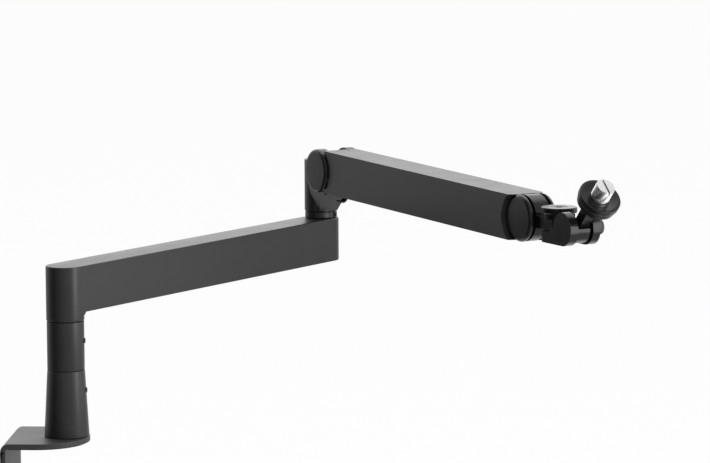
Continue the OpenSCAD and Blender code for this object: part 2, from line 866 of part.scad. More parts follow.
// The torsion spring's tight turns are one sleeve; its leg pushes up on the frame
module balance_spring() {
    wire_r = spring_wire / 2;
    mean_r = spring_in_r + wire_r;
    color([0.45, 0.45, 0.46])
    at_upper() {
        difference() {
            bar_y(spring_in_r + spring_wire, spring_near, spring_near + spring_w);
            bar_y(spring_in_r, spring_near - eps, spring_near + spring_w + eps);
        }
        translate([0, spring_near + spring_w / 2, mean_r]) bar_x(wire_r, 0, spring_leg_len);
    }
}

module cable_clip() {
    drop = upper_h / 2;
    color([0.1, 0.1, 0.105])
    at_upper() translate([clip_ahead - clip_len / 2, 0, -drop])
    difference() {
        union() {
            translate([0, -clip_r, -1.6]) cube([clip_len, 2 * clip_r, 1.6]);
            translate([0, 0, -clip_r]) bar_x(clip_r, 0, clip_len);
        }
        translate([-eps, 0, -clip_r]) bar_x(clip_bore_r, 0, clip_len + 2 * eps);
        translate([-eps, -clip_r - 1, -clip_r - clip_mouth / 2 - 0.8])
            cube([clip_len + 2 * eps, clip_r + 1, clip_mouth]);
    }
}

module upper_cover() {
    color([0.1, 0.1, 0.105])
    at_upper()
        translate([slot_start + cover_inset, 0, -upper_h / 2])
        cover_strip(upper_len - slot_start - slot_end - 2 * cover_inset, cover_w);
}

module level_link() {
    color([0.4, 0.4, 0.41])
    at_pivot() translate([link_ahead, 0, -link_down]) rotate([0, upper_droop, 0])
    difference() {
        union() {
            translate([0, link_y, -link_half_h]) cube([upper_len, link_t, 2 * link_half_h]);
            for (x = [0, upper_len]) {
                translate([x, 0, 0]) bar_y(link_eye_r, link_y, link_y + link_t);
            }
        }
        for (x = [0, upper_len]) {
            translate([x, 0, 0]) bar_y(link_pin_r + slip, link_y - 1, link_y + link_t + 1);
        }
    }
}

// Room in the front drum for the levelling link as the arm tilts
module link_room() {
    polygon([[link_ahead + 5.5, -2 * drum_r], [link_ahead + 5.5, -link_down + 5.5],
        [link_ahead, -link_down + 5.5], [0, -link_down + 6.9], [-8, -link_down + 10.8],
        [-drum_r - 1, -link_down + 16.4], [-drum_r - 1, -2 * drum_r]]);
}

module front_bracket() {
    color([0.1, 0.1, 0.105])
    at_front()
    difference() {
        union() {
            bar_y(front_drum_r, -front_half, front_half);
            translate([0, -front_half, -head_drop - tongue_half_h])
                cube([swivel_ahead, 2 * front_half, 2 * tongue_half_h]);
            translate([swivel_ahead, 0, -head_drop - tongue_half_h])
                cylinder(r = front_half, h = 2 * tongue_half_h);
        }
        bar_y(main_pin_r + slip, -front_half - 1, front_half + 1);
        translate([link_ahead, 0, -link_down]) bar_y(link_pin_r + slip, -front_half - 1, front_half + 1);
        slab_y(link_y - link_side_gap, link_y + link_t + link_side_gap) link_room();
        translate([swivel_ahead, 0, -head_drop - tongue_half_h - 1])
            cylinder(r = swivel_r + slip, h = 2 * tongue_half_h + 2);
    }
}

module front_pin() {
    half = front_cap_in + 1;
    color([0.6, 0.6, 0.61]) at_front() bar_y(main_pin_r, -half, half);
}

module front_link_pin() {
    half = front_half - face_gap;
    color([0.6, 0.6, 0.61])
    at_front() translate([link_ahead, 0, -link_down]) bar_y(link_pin_r, -half, half);
}

module front_caps() {
    color([0.1, 0.1, 0.105])
    at_front()
    for (side = [-1, 1]) {
        translate([0, side * front_cap_in, 0]) rotate([-side * 90, 0, 0])
        difference() {
            round_cap(front_cap_r, front_cap_t, front_cap_bevel);
            translate([0, 0, -eps]) cylinder(r = main_pin_r + slip, h = 1 + face_gap + eps);
        }
    }
}

// The head block: a capped swivel hub behind, joined by a web to a fork of two round cheeks
module head_block() {
    slot_half = tongue_half_h + tongue_gap;
    slot_len = front_half + 0.6;
    color([0.1, 0.1, 0.105])
    at_head()
    difference() {
        union() {
            translate([0, 0, swivel_cap_low])
                eased_disc(swivel_cap_r, swivel_cap_top - swivel_cap_low, ease);
            translate([0, 0, -head_r]) cylinder(r = swivel_neck_r, h = head_r + swivel_cap_low + eps);
            translate([0, 0, -head_r]) cylinder(r = head_half, h = head_r - slot_half);
            translate([0, -head_web_half, -head_r])
                cube([fork_start + eps, 2 * head_web_half, head_r + swivel_cap_low]);
            translate([0, -head_half, -head_r]) cube([tilt_ahead, 2 * head_half, head_r]);
            translate([tilt_ahead, 0, 0]) bar_y(head_r, -head_half, head_half);
        }
        translate([fork_start, near_cheek_y, -head_r - 1])
            cube([tilt_ahead + head_r, far_cheek_y - near_cheek_y, 2 * head_r + 2]);
        translate([-swivel_cap_r, -swivel_cap_r, -slot_half])
            cube([swivel_cap_r + slot_len, 2 * swivel_cap_r, 2 * slot_half]);
        translate([0, 0, -head_r - 1]) cylinder(r = swivel_r + slip, h = head_r + swivel_cap_top + 2);
        translate([0, 0, swivel_cap_low]) cylinder(r = swivel_head_r + face_gap, h = swivel_head_h + 1);
        translate([0, 0, -head_r - eps])
            cylinder(r = swivel_nut_r + face_gap, h = swivel_sunk + swivel_nut_h + eps, $fn = 6);
        translate([tilt_ahead, 0, 0]) bar_y(tilt_screw_r + slip, tilt_screw_near - face_gap, head_half + 1);
    }
}

module swivel_bolt() {
    low = -head_r + swivel_sunk;
    color([0.3, 0.3, 0.31])
    at_head()
    difference() {
        union() {
            translate([0, 0, swivel_cap_low]) cylinder(r = swivel_head_r, h = swivel_head_h);
            translate([0, 0, low]) cylinder(r = swivel_r, h = swivel_cap_low + eps - low);
        }
        translate([0, 0, swivel_cap_low + swivel_head_h - 3]) cylinder(r = swivel_r - 0.6, h = 4, $fn = 6);
    }
}

module swivel_nut() {
    color([0.3, 0.3, 0.31])
    at_head() translate([0, 0, -head_r + swivel_sunk])
    difference() {
        cylinder(r = swivel_nut_r, h = swivel_nut_h, $fn = 6);
        translate([0, 0, -eps]) cylinder(r = swivel_r + slip, h = swivel_nut_h + 2 * eps);
    }
}

module swivel_washers() {
    color([0.75, 0.74, 0.7])
    at_head()
    for (low = [-tongue_half_h - tongue_gap, tongue_half_h + eps]) {
        translate([0, 0, low])
        difference() {
            cylinder(r = front_half, h = tongue_gap - eps);
            translate([0, 0, -eps]) cylinder(r = swivel_r + slip, h = 1);
        }
    }
}

// The yoke: half a barrel and a hub on the tilt screw, a web, and a flared flange
module mic_yoke() {
    near = barrel_near - stem_side;
    far = barrel_far - stem_side;
    cone_low = flange_top - flange_t - flange_cone;
    color([0.12, 0.12, 0.125])
    at_stem()
    difference() {
        union() {
            rotate([0, -stem_lean, 0])
            intersection() {
                bar_y(barrel_r, near, far);
                translate([-barrel_r, near, -barrel_r]) cube([2 * barrel_r, far - near, barrel_r + barrel_flat]);
            }
            bar_y(tilt_hub_r, near, far);
            translate([-web_rear, web_near - stem_side, 0])
                cube([web_rear + web_front, barrel_far - web_near, flange_top - flange_t]);
            translate([0, 0, cone_low]) cylinder(r1 = flange_cone_r, r2 = flange_r, h = flange_cone);
            translate([0, 0, flange_top - flange_t]) cylinder(r = flange_r, h = flange_t);
        }
        bar_y(tilt_screw_r + slip, near - 1, far + 1);
        translate([0, 0, flange_top - stud_sunk]) cylinder(r = thread_r + slip, h = stud_sunk + 1);
    }
}

module tilt_washer() {
    color([0.05, 0.05, 0.05])
    at_head() translate([tilt_ahead, 0, 0])
    difference() {
        bar_y(tilt_washer_r, barrel_far + face_gap, far_cheek_y - eps);
        bar_y(tilt_screw_r + slip, barrel_far, far_cheek_y);
    }
}

// The stud has a relief groove above the ring and a coin slot in its eased tip
module mic_stud() {
    groove = flange_top + ring_washer_t + ring_h + relief_gap;
    start = groove + relief_w;
    top = start + thread_len;
    low = flange_top - stud_sunk + face_gap;
    color([0.6, 0.6, 0.61])
    at_stem()
    difference() {
        rotate_extrude()
            polygon([[0, low], [thread_r, low], [thread_r, groove], [thread_r - relief_depth, groove],
                [thread_r - relief_depth, start], [thread_r, start], [thread_r, top - 1],
                [thread_r - 1, top], [0, top]]);
        translate([-thread_r - 1, -slot_w / 2, top - slot_depth])
            cube([2 * thread_r + 2, slot_w, slot_depth + 1]);
    }
}

module ring_washer() {
    color([0.03, 0.03, 0.03])
    at_stem() translate([0, 0, flange_top])
    difference() {
        cylinder(r = ring_washer_r, h = ring_washer_t);
        translate([0, 0, -eps]) cylinder(r = thread_r + slip, h = ring_washer_t + 2 * eps);
    }
}

module lock_ring() {
    color([0.12, 0.12, 0.125])
    at_stem() translate([0, 0, flange_top + ring_washer_t + face_gap])
    difference() {
        eased_disc(ring_r, ring_h - face_gap, 0.8);
        translate([0, 0, -eps]) cylinder(r = thread_r + slip, h = ring_h + 2 * eps);
        for (i = [0 : ring_grips - 1]) {
            rotate([0, 0, i * 360 / ring_grips])
                translate([ring_r + grip_r / 2, 0, -eps]) cylinder(r = grip_r, h = ring_h, $fn = 16);
        }
    }
}

module tilt_screw() {
    color([0.5, 0.5, 0.51])
    at_head() translate([tilt_ahead, 0, 0]) bar_y(tilt_screw_r, tilt_screw_near, head_half + knob_cap_len / 2);
}

module tilt_knob() {
    color([0.08, 0.08, 0.085])
    at_head() translate([tilt_ahead, head_half + face_gap, 0]) rotate([-90, 0, 0])
    difference() {
        eased_disc(knob_cap_r, knob_cap_len, ease);
        translate([0, 0, -eps]) cylinder(r = tilt_screw_r + slip, h = knob_cap_len / 2 + eps);
        translate([0, 0, knob_cap_len - 2]) cylinder(r = 2.5, h = 3, $fn = 6);
    }
}

base_plate();
desk_liner();
clamp_jaw();
flange_screws();
clamp_bush();
pressure_pad();
pad_liner();
clamp_spindle();
clamp_knob();
riser_foot();
foot_bolts();
foot_grub();
riser_tube();
riser_grub();
pivot_post();
hub_washer();
lower_arm();
hub_bush();
elbow_bush();
lower_cover();
elbow_bracket();
elbow_stem();
stem_washer();
stem_screw();
elbow_collar();
collar_screw();
tilt_pin();
rear_link_pin();
spring_sleeve();
elbow_caps();
arm_frame();
upper_shell();
shell_screws();
balance_spring();
cable_clip();
upper_cover();
level_link();
front_bracket();
front_pin();
front_link_pin();
front_caps();
head_block();
swivel_bolt();
swivel_nut();
swivel_washers();
mic_yoke();
tilt_washer();
mic_stud();
ring_washer();
lock_ring();
tilt_screw();
tilt_knob();
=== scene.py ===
# %% [markdown]
# # A low-profile microphone arm
# This lesson dresses a imported CAD model of a desk microphone arm. The arm has a desk clamp, a riser, a
# flat lower arm that swings, a square upper arm that tilts and stays level at its front, and a small
# head with a threaded stud. The first cell loads the CAD model as a frame that is never moved. Every
# solid sits at the origin and carries its place in its own vertices, so a new piece needs no fitting:
# it is worked out in the same frame. The dressed model may not outgrow it.

# %% Load the frame
import json

import bpy
import numpy as np
from mathutils import Matrix


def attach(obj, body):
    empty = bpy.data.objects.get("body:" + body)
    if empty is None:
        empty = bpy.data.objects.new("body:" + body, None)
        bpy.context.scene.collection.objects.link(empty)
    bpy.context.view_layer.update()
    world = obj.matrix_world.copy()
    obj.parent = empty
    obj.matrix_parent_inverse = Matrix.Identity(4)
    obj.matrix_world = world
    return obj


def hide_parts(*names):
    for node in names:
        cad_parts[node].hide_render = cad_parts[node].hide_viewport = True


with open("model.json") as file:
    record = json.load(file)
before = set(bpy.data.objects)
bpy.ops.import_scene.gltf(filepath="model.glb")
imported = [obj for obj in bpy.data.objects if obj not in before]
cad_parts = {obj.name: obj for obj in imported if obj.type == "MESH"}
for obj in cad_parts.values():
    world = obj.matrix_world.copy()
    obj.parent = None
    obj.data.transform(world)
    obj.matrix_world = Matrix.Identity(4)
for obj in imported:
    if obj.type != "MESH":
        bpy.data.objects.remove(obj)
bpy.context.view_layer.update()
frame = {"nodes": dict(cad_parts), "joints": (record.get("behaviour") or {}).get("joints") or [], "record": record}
joint = {j["name"]: j for j in frame["joints"]}
print("solids:", len(frame["nodes"]), "joints:", len(joint))

# %% [markdown]
# ## The camera
# A photograph taken from far away with a long lens shows parallel edges almost parallel. The camera here
# stands 3.3 m off with a 200 mm lens. Its three turns are small: a yaw to the left, a pitch downwards and
# a slight roll. Writing the turns out as three axes keeps the camera exact, with no constraint to solve.

# %% Place the camera
YAW, PITCH, ROLL = -0.0683, 0.1297, -0.0050
CAMERA_AT = (0.45961, -3.20621, 0.59598)
LENS, SENSOR = 200.42, 36.0
forward = np.array([np.sin(YAW) * np.cos(PITCH), np.cos(YAW) * np.cos(PITCH), -np.sin(PITCH)])
level = np.array([np.cos(YAW), -np.sin(YAW), 0.0])
above = np.cross(level, forward)
right = level * np.cos(ROLL) + above * np.sin(ROLL)
upward = above * np.cos(ROLL) - level * np.sin(ROLL)

camera = bpy.data.objects.new("camera", bpy.data.cameras.new("camera"))
bpy.context.scene.collection.objects.link(camera)
camera.data.sensor_width = SENSOR
camera.data.lens = LENS
camera.data.clip_end = 50.0
turn = np.eye(4)
turn[:3, 0], turn[:3, 1], turn[:3, 2] = right, upward, -forward
turn[:3, 3] = CAMERA_AT
camera.matrix_world = Matrix(turn.tolist())
bpy.context.scene.camera = camera
print("camera looks along", forward.round(3))

# %% [markdown]
# ## Local frames
# The arm stands turned in four ways at once, so working in world axes would be hard to read. Each joint
# of the CAD model tells where its axis is. From those points this cell makes a small frame for each
# group: an origin, an x axis that runs along the arm, a y axis away from the viewer and a z axis up.
# Shapes are then written in millimetres in the group's own frame and placed with one matrix product.

# %% Make the local frames
MM = 0.001
RING_JOINT_AT = 30  # the lock ring's joint is given this far up the stem from the tilt axis


def unit(v):
    """A vector divided by its length."""
    v = np.asarray(v, float)
    return v / np.linalg.norm(v)


def axes(x, z):
    """A 3x3 matrix with the axes as rows: x as given, z made square to it, y = z cross x."""
    x = unit(x)
    z = unit(np.asarray(z, float) - np.dot(z, x) * x)
    return np.array([x, np.cross(z, x), z])


def put(points, place):
    """Local millimetres to the row frame in metres: origin plus each coordinate times its axis."""
    origin, rows = place
    return origin + (points * MM) @ rows


UP = np.array([0.0, 0.0, 1.0])
elbow_axis = np.array(joint["elbow_swivel"]["pos_m"])
pivot_a = np.array(joint["arm_tilt"]["pos_m"])
pivot_b = np.array(joint["front_level"]["pos_m"])
tilt = np.array(joint["head_tilt"]["pos_m"])
ring_at = np.array(joint["lock_ring_turn"]["pos_m"])
stem_axis = unit(joint["lock_ring_turn"]["axis"])
side = -unit(joint["arm_tilt"]["axis"])
onward = np.cross(side, UP)

BASE = (np.zeros(3), np.eye(3))
SCREW = (np.array([joint["clamp_screw_turn"]["pos_m"][0], 0.0, 0.0]), np.eye(3))
LOWER = (np.zeros(3), axes(elbow_axis * [1, 1, 0], UP))
PIVOT = (pivot_a, axes(onward, UP))
UPPER = (pivot_a, axes(pivot_b - pivot_a, UP))
FRONT = (pivot_b, axes(onward, UP))
TILT = (tilt, axes(onward, UP))
STEM = (ring_at - RING_JOINT_AT * MM * stem_axis, np.array([np.cross(side, stem_axis), side, stem_axis]))
print("upper arm, pivot to pivot:", round(float(np.linalg.norm(pivot_b - pivot_a)) * 1000, 1), "mm")

# %% [markdown]
# ## The floor
# The floor is pale paper, low enough for the clamp's knob when its screw is turned right down. A camera
# ray that meets it sees almost even white, so the outline of the arm stays clean, while every other ray
# sees ordinary paper. Glossy rays pass it by: what the paint mirrors from below comes from the world of
# the next cell, where its brightness can be chosen.

# %% Lay the floor
FLOOR_Z = -0.155  # the knob's lowest point is at -148 mm
FLOOR_LEFT, FLOOR_RIGHT, FLOOR_NEAR, FLOOR_FAR = -9, 9, -9, 14
PAPER_GREY, PAPER_ROUGH = 0.6, 0.9
SELF_LIT = 0.93  # how much of the floor that the camera sees is its own even white


def sees(tree, wanted):
    """The socket of a light path node that is one for the wanted kind of ray and zero for all others."""
    return tree.nodes.new("ShaderNodeLightPath").outputs[wanted]


def paper_material():
    """Pale paper that a camera ray sees almost evenly white, with a trace of shadow left in it."""
    made = bpy.data.materials.new("pale_paper")
    made.use_nodes = True
    tree = made.node_tree
    shader = tree.nodes["Principled BSDF"]
    shader.inputs["Base Color"].default_value = (PAPER_GREY, PAPER_GREY, PAPER_GREY, 1)
    shader.inputs["Roughness"].default_value = PAPER_ROUGH
    glow = tree.nodes.new("ShaderNodeEmission")
    glow.inputs["Color"].default_value = (1, 1, 1, 1)
    mixed = tree.nodes.new("ShaderNodeMixShader")
    share = tree.nodes.new("ShaderNodeMath")
    share.operation = "MULTIPLY"
    share.inputs[1].default_value = SELF_LIT
    tree.links.new(sees(tree, "Is Camera Ray"), share.inputs[0])
    tree.links.new(share.outputs[0], mixed.inputs["Fac"])
    tree.links.new(shader.outputs[0], mixed.inputs[1])
    tree.links.new(glow.outputs[0], mixed.inputs[2])
    tree.links.new(mixed.outputs[0], tree.nodes["Material Output"].inputs["Surface"])
    return made


floor_mesh = bpy.data.meshes.new("floor")
floor_corners = [(FLOOR_LEFT, FLOOR_NEAR, FLOOR_Z), (FLOOR_RIGHT, FLOOR_NEAR, FLOOR_Z),
                 (FLOOR_RIGHT, FLOOR_FAR, FLOOR_Z), (FLOOR_LEFT, FLOOR_FAR, FLOOR_Z)]
floor_mesh.from_pydata(floor_corners, [], [(0, 1, 2, 3)])
floor = bpy.data.objects.new("floor", floor_mesh)
bpy.context.scene.collection.objects.link(floor)
floor_mesh.materials.append(paper_material())
floor.visible_glossy = False
print("floor at", round(FLOOR_Z * 1000, 1), "mm")

# %% [markdown]
# ## The studio
# Dark satin paint shows its shape by what it mirrors, so the light is a whole studio written as a world.
# One ramp runs round the horizon. Its bright back gives the tops their pale sheen at a low angle and draws
# the rims of the round riser. It is dark at the front left, which gives the riser its black core, half as
# bright at the front right, and it dips at the back right, where the lower arm's long side mirrors it. A
# second ramp runs from low to high, and the two are multiplied. It is bright below as well, because the
# floor isn't mirrored. The camera itself sees plain white.

# %% Light the studio
WORLD_STRENGTH = 2.0
ROUND = [(-1.0, 0.40), (-0.82, 0.20), (-0.66, 0.0), (-0.53, 0.05), (-0.38, 0.50), (-0.2, 0.62), (0.0, 0.85),
         (0.2, 0.75), (0.34, 0.24), (0.5, 0.58), (0.72, 0.50), (1.0, 0.40)]
HEIGHT = [(-1.0, 1.3), (-0.6, 1.1), (-0.3, 0.5), (-0.12, 0.5), (0.08, 1.0), (0.35, 1.15), (1.0, 1.0)]


def brightness(tree, driver, stops):
    """A grey ramp over a value from -1 to 1. stops are pairs of place and brightness."""
    spread = tree.nodes.new("ShaderNodeMapRange")
    spread.inputs["From Min"].default_value = -1
    tree.links.new(driver, spread.inputs["Value"])
    ramp = tree.nodes.new("ShaderNodeValToRGB")
    ramp.color_ramp.interpolation = "EASE"
    while len(ramp.color_ramp.elements) < len(stops):
        ramp.color_ramp.elements.new(0.5)
    for element, (place, value) in zip(ramp.color_ramp.elements, stops):
        element.position = (place + 1) / 2
        element.color = (value, value, value, 1)
    tree.links.new(spread.outputs["Result"], ramp.inputs["Fac"])
    return ramp.outputs["Color"]


def studio_world():
    """A world whose light depends on the direction: a ramp round the horizon, from the front by the left
    to the back and on by the right, times a ramp from low to high."""
    world = bpy.data.worlds.new("studio")
    world.use_nodes = True
    tree = world.node_tree
    spot = tree.nodes.new("ShaderNodeTexCoord")
    parts = tree.nodes.new("ShaderNodeSeparateXYZ")
    tree.links.new(spot.outputs["Generated"], parts.inputs[0])
    bearing, share = (tree.nodes.new("ShaderNodeMath") for _ in range(2))
    bearing.operation, share.operation = "ARCTAN2", "DIVIDE"
    share.inputs[1].default_value = np.pi
    tree.links.new(parts.outputs["X"], bearing.inputs[0])
    tree.links.new(parts.outputs["Y"], bearing.inputs[1])
    tree.links.new(bearing.outputs[0], share.inputs[0])
    product = tree.nodes.new("ShaderNodeVectorMath")
    product.operation = "MULTIPLY"
    tree.links.new(brightness(tree, share.outputs[0], ROUND), product.inputs[0])
    tree.links.new(brightness(tree, parts.outputs["Z"], HEIGHT), product.inputs[1])
    seen = tree.nodes.new("ShaderNodeMix")
    seen.data_type = "RGBA"
    white_seen = 1 / WORLD_STRENGTH
    seen.inputs["B"].default_value = (white_seen, white_seen, white_seen, 1)
    tree.links.new(sees(tree, "Is Camera Ray"), seen.inputs["Factor"])
    tree.links.new(product.outputs[0], seen.inputs["A"])
    tree.links.new(seen.outputs["Result"], tree.nodes["Background"].inputs["Color"])
    tree.nodes["Background"].inputs["Strength"].default_value = WORLD_STRENGTH
    return world


bpy.context.scene.world = studio_world()
bpy.context.scene.view_settings.view_transform = "Standard"
brightest = max(value for _, value in ROUND) * max(value for _, value in HEIGHT) * WORLD_STRENGTH
print("studio: nothing is brighter than", round(brightest, 2))

# %% [markdown]
# ## Three lamps
# The world's light comes from all round. A wide lamp overhead adds light on the tops, a weak strip at the
# right lightens the edges that face it, and a small strip near the head picks out its shoulders. All three
# are area lamps, because a lamp with a size gives paint a soft edge of light.

# %% Hang the lamps
def soft_light(name, at, towards, width, height, power):
    """A rectangular light at one point that faces another: its -Z axis is the line between them."""
    data = bpy.data.lights.new(name, "AREA")
    data.shape = "RECTANGLE"
    data.size, data.size_y, data.energy = width, height, power
    lamp = bpy.data.objects.new(name, data)
    bpy.context.scene.collection.objects.link(lamp)
    back = unit(np.asarray(at, float) - towards)
    across = unit(np.cross(UP if abs(back[2]) < 0.95 else [0, 1, 0], back))
    turned_to = np.eye(4)
    turned_to[:3, 0], turned_to[:3, 1], turned_to[:3, 2] = across, np.cross(back, across), back
    turned_to[:3, 3] = at
    lamp.matrix_world = Matrix(turned_to.tolist())
    lamp.visible_camera = False


soft_light("overhead", at=(0.3, 0.9, 2.2), towards=(0.25, 0.15, 0.15), width=2.6, height=1.6, power=20)
soft_light("right_strip", at=(1.05, 0.3, 0.3), towards=(0.0, 0.0, 0.1), width=0.4, height=1.0, power=1.6)
soft_light("head_strip", at=(0.70, -0.21, 0.21), towards=(0.43, -0.05, 0.19), width=0.25, height=0.35,
           power=1.9)

# %% [markdown]
# ## Materials
# Powder coat is paint baked from dust: matt, faintly bumpy and a little uneven in gloss. Moulded plastic
# has a finer grain, rubber is duller, and steel is metallic with hardly any grain. Each finish is built
# from noise in object coordinates, so the grain keeps its real size on every piece. Two scales of noise
# are enough: a fine one for the bump, and a broad one mixed with it for colour and gloss.

# %% A helper for finishes
NOISE_LOW, NOISE_HIGH = 0.3, 0.7  # nearly all of a noise texture's values lie between these


def finish(name, dark, light, rough, grain_mm, bump, metal=0.0, patch_mm=30.0, sheen=0.5):
    """A finish whose colour runs from dark to light and whose roughness runs over the pair rough, both
    with the mean of broad noise in patches of patch_mm and fine noise in grains of grain_mm. The fine
    noise alone lifts the surface by bump micrometres."""
    made = bpy.data.materials.new(name)
    made.use_nodes = True
    tree = made.node_tree
    shader = tree.nodes["Principled BSDF"]
    shader.inputs["Metallic"].default_value = metal
    shader.inputs["Specular IOR Level"].default_value = sheen
    spot = tree.nodes.new("ShaderNodeTexCoord")
    broad, fine = (tree.nodes.new("ShaderNodeTexNoise") for _ in range(2))
    for noise, size_mm, detail, noise_rough in ((broad, patch_mm, 5, 0.6), (fine, grain_mm, 3, 0.55)):
        noise.inputs["Scale"].default_value = 1000 / size_mm
        noise.inputs["Detail"].default_value = detail
        noise.inputs["Roughness"].default_value = noise_rough
        tree.links.new(spot.outputs["Object"], noise.inputs["Vector"])
    tint = tree.nodes.new("ShaderNodeValToRGB")
    for element, place, colour in zip(tint.color_ramp.elements, (NOISE_LOW, NOISE_HIGH), (dark, light)):
        element.position = place
        element.color = (*colour, 1)
    mixed, half = (tree.nodes.new("ShaderNodeMath") for _ in range(2))
    mixed.operation, half.operation = "ADD", "MULTIPLY"
    half.inputs[1].default_value = 0.5
    tree.links.new(broad.outputs["Fac"], mixed.inputs[0])
    tree.links.new(fine.outputs["Fac"], mixed.inputs[1])
    tree.links.new(mixed.outputs[0], half.inputs[0])
    tree.links.new(half.outputs[0], tint.inputs["Fac"])
    tree.links.new(tint.outputs["Color"], shader.inputs["Base Color"])
    gloss = tree.nodes.new("ShaderNodeMapRange")
    gloss.inputs["From Min"].default_value, gloss.inputs["From Max"].default_value = NOISE_LOW, NOISE_HIGH
    gloss.inputs["To Min"].default_value, gloss.inputs["To Max"].default_value = rough
    tree.links.new(half.outputs[0], gloss.inputs["Value"])
    tree.links.new(gloss.outputs["Result"], shader.inputs["Roughness"])
    lift = tree.nodes.new("ShaderNodeBump")
    lift.inputs["Strength"].default_value = 1.0
    lift.inputs["Distance"].default_value = bump * 1e-6
    tree.links.new(fine.outputs["Fac"], lift.inputs["Height"])
    tree.links.new(lift.outputs["Normal"], shader.inputs["Normal"])
    return made


print("finish helper ready")

# %% [markdown]
# The finishes of this arm, from the painted outside to the steel inside. Colours are linear values:
# 0.03 is already a dark charcoal. The plate's coat is a little paler than the arm's, which is painted light:
# the extra paleness stands in for light bounced up onto the plate. The head's coat is darker and smoother.

# %% Mix the finishes
POWDER = finish("powder_coat", dark=(0.008, 0.008, 0.0085), light=(0.015, 0.015, 0.0155),
                rough=(0.34, 0.44), grain_mm=0.55, bump=14)
# painted light: the plate's coat is paler than the arm's to show light bounced up onto the plate
PLATE_COAT_PAINTED_LIGHT = finish("plate_coat_painted_light", dark=(0.020, 0.020, 0.0205), light=(0.028, 0.028, 0.0285),
                    rough=(0.46, 0.56), grain_mm=0.6, bump=16)
HEAD_COAT = finish("head_powder_coat", dark=(0.004, 0.004, 0.0042), light=(0.007, 0.007, 0.0072),
                   rough=(0.22, 0.30), grain_mm=0.5, bump=12, sheen=0.2)
PLASTIC = finish("moulded_plastic", dark=(0.006, 0.006, 0.0063), light=(0.010, 0.010, 0.0103),
                 rough=(0.24, 0.34), grain_mm=0.35, bump=8, sheen=0.28)
RUBBER = finish("rubber", dark=(0.003, 0.003, 0.003), light=(0.006, 0.006, 0.006),
                rough=(0.6, 0.75), grain_mm=0.4, bump=20, sheen=0.12)
ZINC = finish("zinc_steel", dark=(0.42, 0.42, 0.43), light=(0.55, 0.55, 0.55),
              rough=(0.22, 0.38), grain_mm=0.25, bump=3, metal=1.0)
OXIDE = finish("black_oxide", dark=(0.030, 0.030, 0.032), light=(0.055, 0.055, 0.057),
               rough=(0.32, 0.45), grain_mm=0.3, bump=4, metal=0.8)
PRESSED = finish("pressed_steel", dark=(0.08, 0.08, 0.085), light=(0.13, 0.13, 0.13),
                 rough=(0.35, 0.5), grain_mm=0.6, bump=6, metal=0.9, patch_mm=12)
ACETAL = finish("acetal", dark=(0.66, 0.65, 0.60), light=(0.72, 0.71, 0.67),
                rough=(0.35, 0.45), grain_mm=0.5, bump=5)
SPRING = finish("spring_steel", dark=(0.16, 0.16, 0.17), light=(0.24, 0.24, 0.25),
                rough=(0.25, 0.38), grain_mm=0.3, bump=4, metal=1.0)
FINISH_OF_SLOT = {
    "coated_aluminium": POWDER, "coated_steel": POWDER, "black_plastic": PLASTIC, "rubber": RUBBER,
    "steel": ZINC, "black_steel": OXIDE, "frame_steel": PRESSED, "bearing_plastic": ACETAL,
    "spring_steel": SPRING,
}
print("finishes:", ", ".join(sorted({m.name for m in FINISH_OF_SLOT.values()})))

# %% [markdown]
# ## Carrying the CAD solids over
# Most solids already have the right shape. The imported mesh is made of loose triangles, so it is joined by
# distance before its round sides can be shaded smoothly. A geometry node group does that without
# touching the mesh: it drops the stored normals, merges, shades smooth and keeps sharp edges sharp.

# %% A node group that joins and shades
SHARP_EDGE = np.radians(28)
WELD = 2e-6


def joined_and_shaded():
    """Merge by distance, shade faces smooth, keep edges over SHARP_EDGE sharp."""
    group = bpy.data.node_groups.new("joined_and_shaded", "GeometryNodeTree")
    group.interface.new_socket("Geometry", in_out="INPUT", socket_type="NodeSocketGeometry")
    group.interface.new_socket("Geometry", in_out="OUTPUT", socket_type="NodeSocketGeometry")
    nodes, link = group.nodes, group.links.new
    start, end = nodes.new("NodeGroupInput"), nodes.new("NodeGroupOutput")
    bare = nodes.new("GeometryNodeRemoveAttribute")
    bare.inputs["Name"].default_value = "custom_normal"
    merge = nodes.new("GeometryNodeMergeByDistance")
    merge.inputs["Distance"].default_value = WELD
    smooth, sharp = (nodes.new("GeometryNodeSetShadeSmooth") for _ in range(2))
    smooth.domain, sharp.domain = "FACE", "EDGE"
    sharp.inputs["Shade Smooth"].default_value = False
    angle = nodes.new("GeometryNodeInputMeshEdgeAngle")
    over = nodes.new("FunctionNodeCompare")
    over.operation = "GREATER_THAN"
    over.inputs["B"].default_value = SHARP_EDGE
    link(start.outputs[0], bare.inputs["Geometry"])
    link(bare.outputs["Geometry"], merge.inputs["Geometry"])
    link(merge.outputs["Geometry"], smooth.inputs["Geometry"])
    link(smooth.outputs["Geometry"], sharp.inputs["Geometry"])
    link(angle.outputs["Unsigned Angle"], over.inputs["A"])
    link(over.outputs["Result"], sharp.inputs["Selection"])
    link(sharp.outputs["Geometry"], end.inputs[0])
    return group


JOINED = joined_and_shaded()
print("node group:", JOINED.name)

# %% [markdown]
# A bevel modifier then breaks the edges by a few tenths of a millimetre, because a real painted edge
# always catches a line of light. Big painted pieces have broader edges than small turned ones. The finish
# follows the node's material in the CAD model, and a few nodes have a finish of their own.

# %% Dress every solid
FINE_EDGE = 0.25
EDGE_OF_NODE = {"upper_shell": 0.7, "base_plate": 0.6, "elbow_bracket": 0.9, "head_block": 0.7,
                "mic_yoke": 0.6, "front_bracket": 0.4, "clamp_jaw": 0.6}
# the base plate takes the paler coat, whose extra paleness is painted light bounced up onto it
FINISH_OF_NODE = {"head_block": HEAD_COAT, "mic_yoke": HEAD_COAT, "front_bracket": HEAD_COAT,
                  "elbow_collar": POWDER, "hub_washer": PLASTIC, "base_plate": PLATE_COAT_PAINTED_LIGHT}
SLOT_OF_NODE = {part["node"]: part["material_slot"] for part in frame["record"]["subparts"]}


